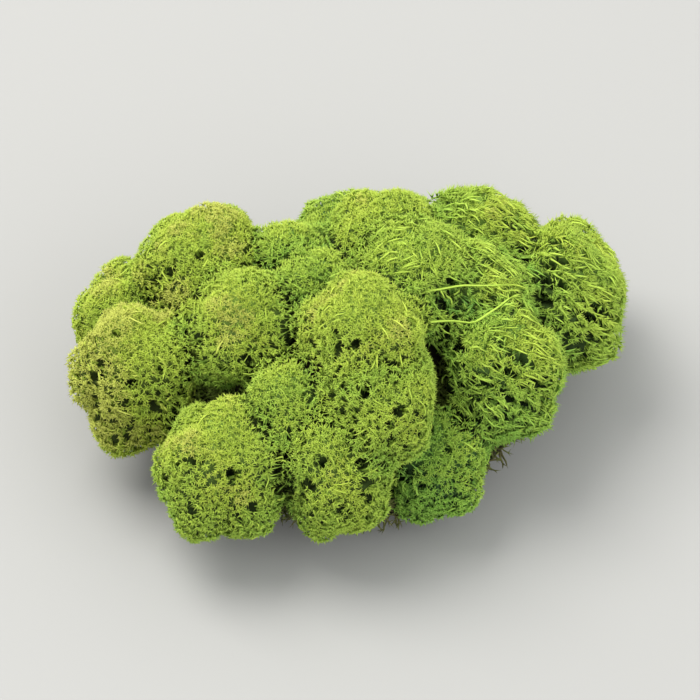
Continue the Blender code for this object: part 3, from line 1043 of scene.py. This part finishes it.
class MaterialNodes:
    """Nodes of one material; each method adds a node and gives its output."""

    def __init__(self, material):
        material.use_nodes = True
        self.nodes = material.node_tree.nodes
        self.links = material.node_tree.links
        self.shader = self.nodes["Principled BSDF"]

    def attribute(self, name):
        """A mesh attribute."""
        node = self.nodes.new("ShaderNodeAttribute")
        node.attribute_name = name
        return node.outputs["Fac"]

    def ramp(self, value, stops):
        """Colour ramp from a list of place and colour."""
        node = self.nodes.new("ShaderNodeValToRGB")
        elements = node.color_ramp.elements
        elements[0].position, elements[0].color = stops[0][0], (*stops[0][1], 1)
        elements[1].position, elements[1].color = stops[-1][0], (*stops[-1][1], 1)
        for place, colour in stops[1:-1]:
            elements.new(place).color = (*colour, 1)
        self.links.new(value, node.inputs["Fac"])
        return node.outputs["Color"]

    def mix(self, factor, first, second):
        """Mix of two colours by a factor between 0 and 1."""
        node = self.nodes.new("ShaderNodeMix")
        node.data_type = "RGBA"
        self.links.new(factor, node.inputs["Factor"])
        self.links.new(first, node.inputs[6])
        self.links.new(second, node.inputs[7])
        return node.outputs[2]

    def product(self, first, second):
        """Product of two colours."""
        node = self.nodes.new("ShaderNodeMix")
        node.data_type = "RGBA"
        node.blend_type = "MULTIPLY"
        node.inputs["Factor"].default_value = 1
        self.links.new(first, node.inputs[6])
        self.links.new(second, node.inputs[7])
        return node.outputs[2]

    def scaled(self, value, lowest, highest, start=0.0):
        """A value from start to 1, stretched to run from lowest to highest."""
        node = self.nodes.new("ShaderNodeMapRange")
        node.inputs["From Min"].default_value = start
        node.inputs["To Min"].default_value = lowest
        node.inputs["To Max"].default_value = highest
        self.links.new(value, node.inputs["Value"])
        return node.outputs["Result"]

    def felt(self):
        """Fine noise in the object's own space."""
        place = self.nodes.new("ShaderNodeTexCoord")
        node = self.nodes.new("ShaderNodeTexNoise")
        node.inputs["Scale"].default_value = FELT_SCALE
        node.inputs["Detail"].default_value = FELT_DETAIL
        self.links.new(place.outputs["Object"], node.inputs["Vector"])
        return node.outputs["Fac"]

    def bump(self, height):
        """Surface normal roughened by a height."""
        node = self.nodes.new("ShaderNodeBump")
        node.inputs["Strength"].default_value = BUMP_STRENGTH
        node.inputs["Distance"].default_value = BUMP_HEIGHT
        self.links.new(height, node.inputs["Height"])
        return node.outputs["Normal"]


def moss_material(name, greener, yellower, straw_tint):
    """Matt moss: colour from tip value and tone, with a fine felt in roughness and bump."""
    material = bpy.data.materials.new(name)
    tree = MaterialNodes(material)
    tip = tree.attribute("tip")
    tone = tree.attribute("tone")
    fresh = tree.mix(tone, tree.ramp(tip, greener), tree.ramp(tip, yellower))
    # Straw colour mixed in where the tone is highest
    straw_tint_mix = tree.scaled(tone, 0.0, STRAW_TINT_SHARE, STRAW_TINT_FROM)
    colour = tree.mix(straw_tint_mix, fresh, tree.ramp(tip, straw_tint))
    felt = tree.felt()
    colour = tree.product(colour, tree.scaled(felt, *FELT_COLOUR))
    tree.links.new(colour, tree.shader.inputs["Base Color"])
    tree.links.new(tree.scaled(felt, *FELT_ROUGHNESS), tree.shader.inputs["Roughness"])
    tree.links.new(tree.bump(felt), tree.shader.inputs["Normal"])
    tree.shader.inputs["Specular IOR Level"].default_value = SPECULAR
    return material


def aim(thing, place, target):
    """Put something at a place, looking at a target."""
    place = np.asarray(place, dtype=float)
    way = unit(np.asarray(target, dtype=float) - place)
    thing.location = place
    thing.rotation_euler = (math.acos(-way[2]), 0, math.atan2(way[1], way[0]) - math.pi / 2)


def make_floor():
    """Wide, plain pale floor."""
    bpy.ops.mesh.primitive_plane_add(size=FLOOR_SIZE, location=(0, 0, 0))
    floor = bpy.context.object
    floor.name = "floor"
    material = bpy.data.materials.new("floor")
    material.use_nodes = True
    shader = material.node_tree.nodes["Principled BSDF"]
    shader.inputs["Base Color"].default_value = FLOOR_COLOUR
    shader.inputs["Roughness"].default_value = FLOOR_ROUGHNESS
    floor.data.materials.append(material)
    return floor


def make_world():
    """Even white light from all round."""
    world = bpy.data.worlds.new("studio")
    world.use_nodes = True
    background = world.node_tree.nodes["Background"]
    background.inputs["Color"].default_value = (1, 1, 1, 1)
    background.inputs["Strength"].default_value = WORLD_STRENGTH
    return world


def make_light(name, offset, size, power, colour):
    """Square soft light, aimed at the middle of the clump."""
    data = bpy.data.lights.new(name, "AREA")
    data.energy = power
    data.size = size
    data.color = colour
    light = bpy.data.objects.new(name, data)
    bpy.context.scene.collection.objects.link(light)
    aim(light, TARGET + offset, TARGET)


def make_camera():
    """Camera at the photograph's height, with the whole clump in view."""
    data = bpy.data.cameras.new("camera")
    data.sensor_width = SENSOR_WIDTH
    data.lens = SENSOR_WIDTH * CAMERA_DISTANCE / VIEW_WIDTH
    camera = bpy.data.objects.new("camera", data)
    bpy.context.scene.collection.objects.link(camera)
    away = np.array((0, -math.cos(ELEVATION), math.sin(ELEVATION)))
    aim(camera, TARGET + away * CAMERA_DISTANCE, TARGET)
    return camera


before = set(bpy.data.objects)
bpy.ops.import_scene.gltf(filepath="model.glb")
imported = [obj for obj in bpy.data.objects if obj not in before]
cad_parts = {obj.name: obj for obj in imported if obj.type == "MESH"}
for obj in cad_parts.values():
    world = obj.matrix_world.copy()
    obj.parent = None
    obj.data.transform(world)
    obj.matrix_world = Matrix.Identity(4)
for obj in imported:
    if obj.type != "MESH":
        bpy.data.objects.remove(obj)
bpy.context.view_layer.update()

heads = [Head(index, name) for index, name in enumerate(HEADS)]
bound_cells(heads)
moss = moss_material("moss", GREENER, YELLOWER, STRAW_TINT)
stem_material = moss_material("old_stem", STEM_DARK, STEM_PALE, STEM_GREY)
for head in heads:
    piece = grow_head(head).make(head.name + "_branches", moss)
    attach(piece, "root")
    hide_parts(head.name)
tangle = grow_old_stems(heads).make("old_stems_tangle", stem_material)
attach(tangle, "root")
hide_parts("old_stems")

floor = make_floor()
bpy.context.scene.world = make_world()
make_light("key", KEY_OFFSET, size=0.6, power=8.5, colour=(1, 0.98, 0.95))
make_light("fill", FILL_OFFSET, size=0.8, power=4, colour=(0.95, 0.98, 1))
camera = make_camera()
bpy.context.scene.camera = camera
bpy.context.scene.view_settings.view_transform = "Standard"
